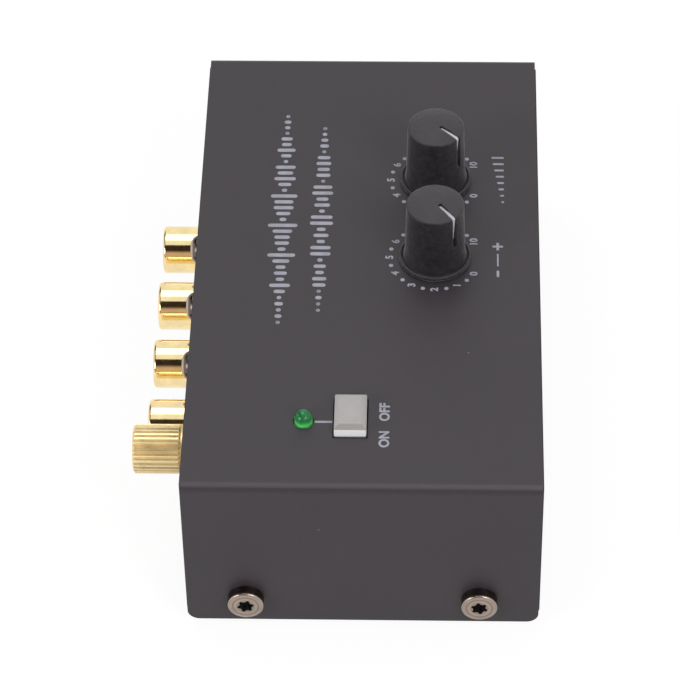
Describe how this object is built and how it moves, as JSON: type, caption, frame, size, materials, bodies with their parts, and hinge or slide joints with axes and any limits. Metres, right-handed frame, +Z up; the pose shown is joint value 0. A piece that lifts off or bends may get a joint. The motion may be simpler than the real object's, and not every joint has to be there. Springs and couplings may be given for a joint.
{
  "type": "phono preamp",
  "caption": "Small desktop phono preamp: bent-sheet case, two dials, push button and lamp on top, phono, output and power sockets and a ground post behind.",
  "frame": {"origin": "centre of the overall box at the height of the feet's treads", "axes": "+X along the case to the right of someone facing its front, +Y towards the rear sockets, +Z up through the top panel"},
  "size_m": [0.1078, 0.0676, 0.048],
  "materials": {
    "painted_cover": "fine satin powder coat",
    "painted_tray": "satin paint",
    "nickel_screw": "bright nickel plate",
    "zinc_steel": "zinc plate",
    "rubber": "matte",
    "soft_black": "soft-touch matte",
    "white_insert": "matte",
    "grey_button": "fine satin",
    "green_lens": "clear tinted",
    "tinned_wire": "tinned",
    "gilt": "polished gilt",
    "white_plastic": "gloss",
    "red_plastic": "gloss",
    "black_moulding": "moulded",
    "circuit_board": "solder mask",
    "steel_shaft": "machined",
    "wire_sleeve": "insulated wire",
    "film_box": "moulded box",
    "grey_ribbon": "ribbon"
  },
  "bodies": {
    "chassis": {"base_tray": "painted_tray", "board_screws": "zinc_steel", "board_standoffs": "zinc_steel", "chip_resistors": "black_moulding", "control_board": "circuit_board", "control_header": "black_moulding", "control_screws": "zinc_steel", "control_standoffs": "zinc_steel", "cover_nuts": "zinc_steel", "cover_screws": "nickel_screw", "dc_housing": "black_moulding", "dc_pin": "nickel_screw", "dc_spring": "tinned_wire", "electrolytics": "black_moulding", "feet": "rubber", "film_capacitors": "film_box", "ground_inner_nut": "zinc_steel", "ground_lug": "tinned_wire", "ground_stud": "gilt", "ground_wire": "wire_sleeve", "led_leads": "tinned_wire", "led_lens": "green_lens", "led_spacer": "black_moulding", "level_pot_case": "zinc_steel", "main_board": "circuit_board", "main_header": "black_moulding", "op_amps": "black_moulding", "rca_barrel_1": "gilt", "rca_barrel_2": "gilt", "rca_barrel_3": "gilt", "rca_barrel_4": "gilt", "rca_contact_1": "gilt", "rca_contact_2": "gilt", "rca_contact_3": "gilt", "rca_contact_4": "gilt", "rca_housing": "black_moulding", "rca_insulator_1": "red_plastic", "rca_insulator_2": "white_plastic", "rca_insulator_3": "red_plastic", "rca_insulator_4": "white_plastic", "rca_screws": "nickel_screw", "regulator": "black_moulding", "ribbon_cable": "grey_ribbon", "switch_case": "black_moulding", "switch_spring": "zinc_steel", "top_cover": "painted_cover", "trs_housing": "black_moulding", "trs_sleeve": "nickel_screw", "trs_springs": "tinned_wire", "volume_pot_case": "zinc_steel"},
    "level_dial": {"level_knob": "soft_black", "level_pointer": "white_insert", "level_pot_shaft": "steel_shaft"},
    "volume_dial": {"volume_knob": "soft_black", "volume_pointer": "white_insert", "volume_pot_shaft": "steel_shaft"},
    "button": {"power_button": "grey_button", "switch_plunger": "white_plastic"},
    "clamp_washer": {"ground_washer": "gilt"},
    "thumb_nut": {"ground_thumb_nut": "gilt"}
  },
  "joints": [
    {"name": "level_turn", "type": "hinge", "parent": "chassis", "child": "level_dial", "pos_m": [0.00084, -0.0159, 0.0351], "axis": [0, 0, -1], "range_deg": [-18, 282]},
    {"name": "volume_turn", "type": "hinge", "parent": "chassis", "child": "volume_dial", "pos_m": [0.02, -0.0159, 0.0351], "axis": [0, 0, -1], "range_deg": [-7.5, 292.5]},
    {"name": "button_press", "type": "slide", "parent": "chassis", "child": "button", "axis": [0, 0, -1], "range_m": [0, 0.002], "stiffness_N_per_m": 800, "springref_m": -0.0005, "deforming": ["switch_spring"]},
    {"name": "nut_travel", "type": "slide", "parent": "chassis", "child": "clamp_washer", "axis": [0, 1, 0], "range_m": [0, 0.0021]},
    {"name": "nut_turn", "type": "hinge", "parent": "clamp_washer", "child": "thumb_nut", "pos_m": [-0.0339, 0.02895, 0.024], "axis": [0, 1, 0], "range_deg": [0, 1080]}
  ],
  "couplings": [
    {"joint": "nut_turn", "follows": "nut_travel", "rad_per_m": 8975.9}
  ]
}
